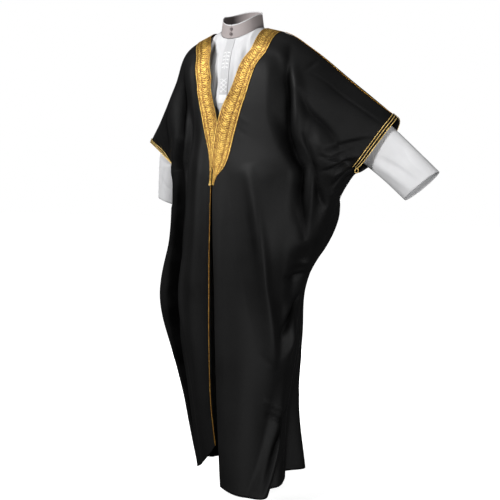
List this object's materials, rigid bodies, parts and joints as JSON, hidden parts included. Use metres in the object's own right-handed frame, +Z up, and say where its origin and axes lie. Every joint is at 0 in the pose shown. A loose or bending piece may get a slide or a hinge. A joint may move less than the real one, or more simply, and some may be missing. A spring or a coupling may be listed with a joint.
{
  "type": "bisht cloak worn over a thobe",
  "caption": "Open black cloak with gold bands along its V front, draped over a white long-sleeved stand-collar robe, hollow and posed as worn with the arms lowered.",
  "frame": {"origin": "middle of the neck, level with the side neck points, where a wearer holds the garments", "axes": "+Z up, the garment's front faces -Y, the wearer's left is +X"},
  "size_m": [1.0807, 0.3888, 1.5667],
  "materials": {
    "bisht_cloth": "soft matte black crepe",
    "thobe_cotton": "white cotton",
    "gold_embroidery": "gold metallic thread",
    "pale_gold_cord": "pale gold metallic cord",
    "stud": "pearly"
  },
  "bodies": {
    "root": {"bisht_front_left": "bisht_cloth", "bisht_front_right": "bisht_cloth", "bisht_back": "bisht_cloth", "facing_left": "bisht_cloth", "facing_right": "bisht_cloth", "band_left": "gold_embroidery", "band_right": "gold_embroidery", "band_neck": "gold_embroidery", "front_cord_right": "gold_embroidery", "shoulder_cord_left": "gold_embroidery", "shoulder_cord_right": "gold_embroidery", "sleeve_trim_left": "pale_gold_cord", "sleeve_trim_right": "pale_gold_cord", "front_knot": "pale_gold_cord", "thobe_front": "thobe_cotton", "thobe_back": "thobe_cotton", "thobe_collar": "thobe_cotton", "thobe_placket": "thobe_cotton", "thobe_sleeve_left": "thobe_cotton", "thobe_sleeve_right": "thobe_cotton", "collar_stud_upper": "stud", "collar_stud_lower": "stud"}
  },
  "joints": []
}
